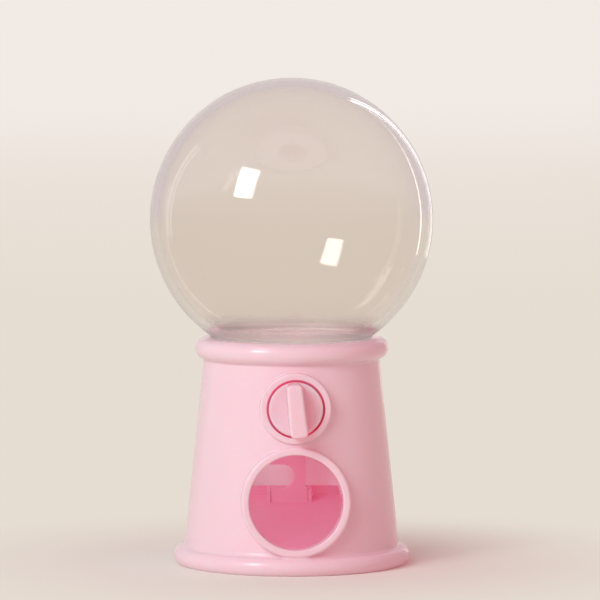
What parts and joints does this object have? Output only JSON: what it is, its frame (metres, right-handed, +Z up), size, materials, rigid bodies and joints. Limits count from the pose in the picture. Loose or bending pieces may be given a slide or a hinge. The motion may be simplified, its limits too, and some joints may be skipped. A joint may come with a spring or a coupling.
{
  "type": "gumball machine",
  "caption": "Favour-size gumball machine: clear ball globe that lifts off a flared moulded base, with a knob that turns a pocketed drum over an open round chute.",
  "frame": {"origin": "middle of the foot, on the surface it stands on", "axes": "+Z up through the globe, -Y towards the front with the knob and chute, +X to the right seen from the front"},
  "size_m": [0.05, 0.05, 0.0859],
  "materials": {
    "shell_pink": "moulded, glossy",
    "inner_pink": "moulded, satin",
    "clear_globe": "moulded, clear",
    "screw_steel": "zinc plated"
  },
  "bodies": {
    "base": {"base_shell": "shell_pink", "hopper": "inner_pink", "bearing_bracket": "inner_pink", "bracket_screws": "screw_steel", "chute_ramp": "inner_pink", "bottom_cover": "shell_pink", "cover_screws": "screw_steel"},
    "dispenser": {"knob": "shell_pink", "dispensing_drum": "inner_pink", "knob_screw": "screw_steel"},
    "globe": {"globe": "clear_globe"}
  },
  "joints": [
    {"name": "knob_turn", "type": "hinge", "parent": "base", "child": "dispenser", "pos_m": [0, 0, 0.0289], "axis": [0, -1, 0], "continuous": true},
    {"name": "globe_lift", "type": "slide", "parent": "base", "child": "globe", "axis": [0, 0, 1], "range_m": [0, 0.02]}
  ]
}
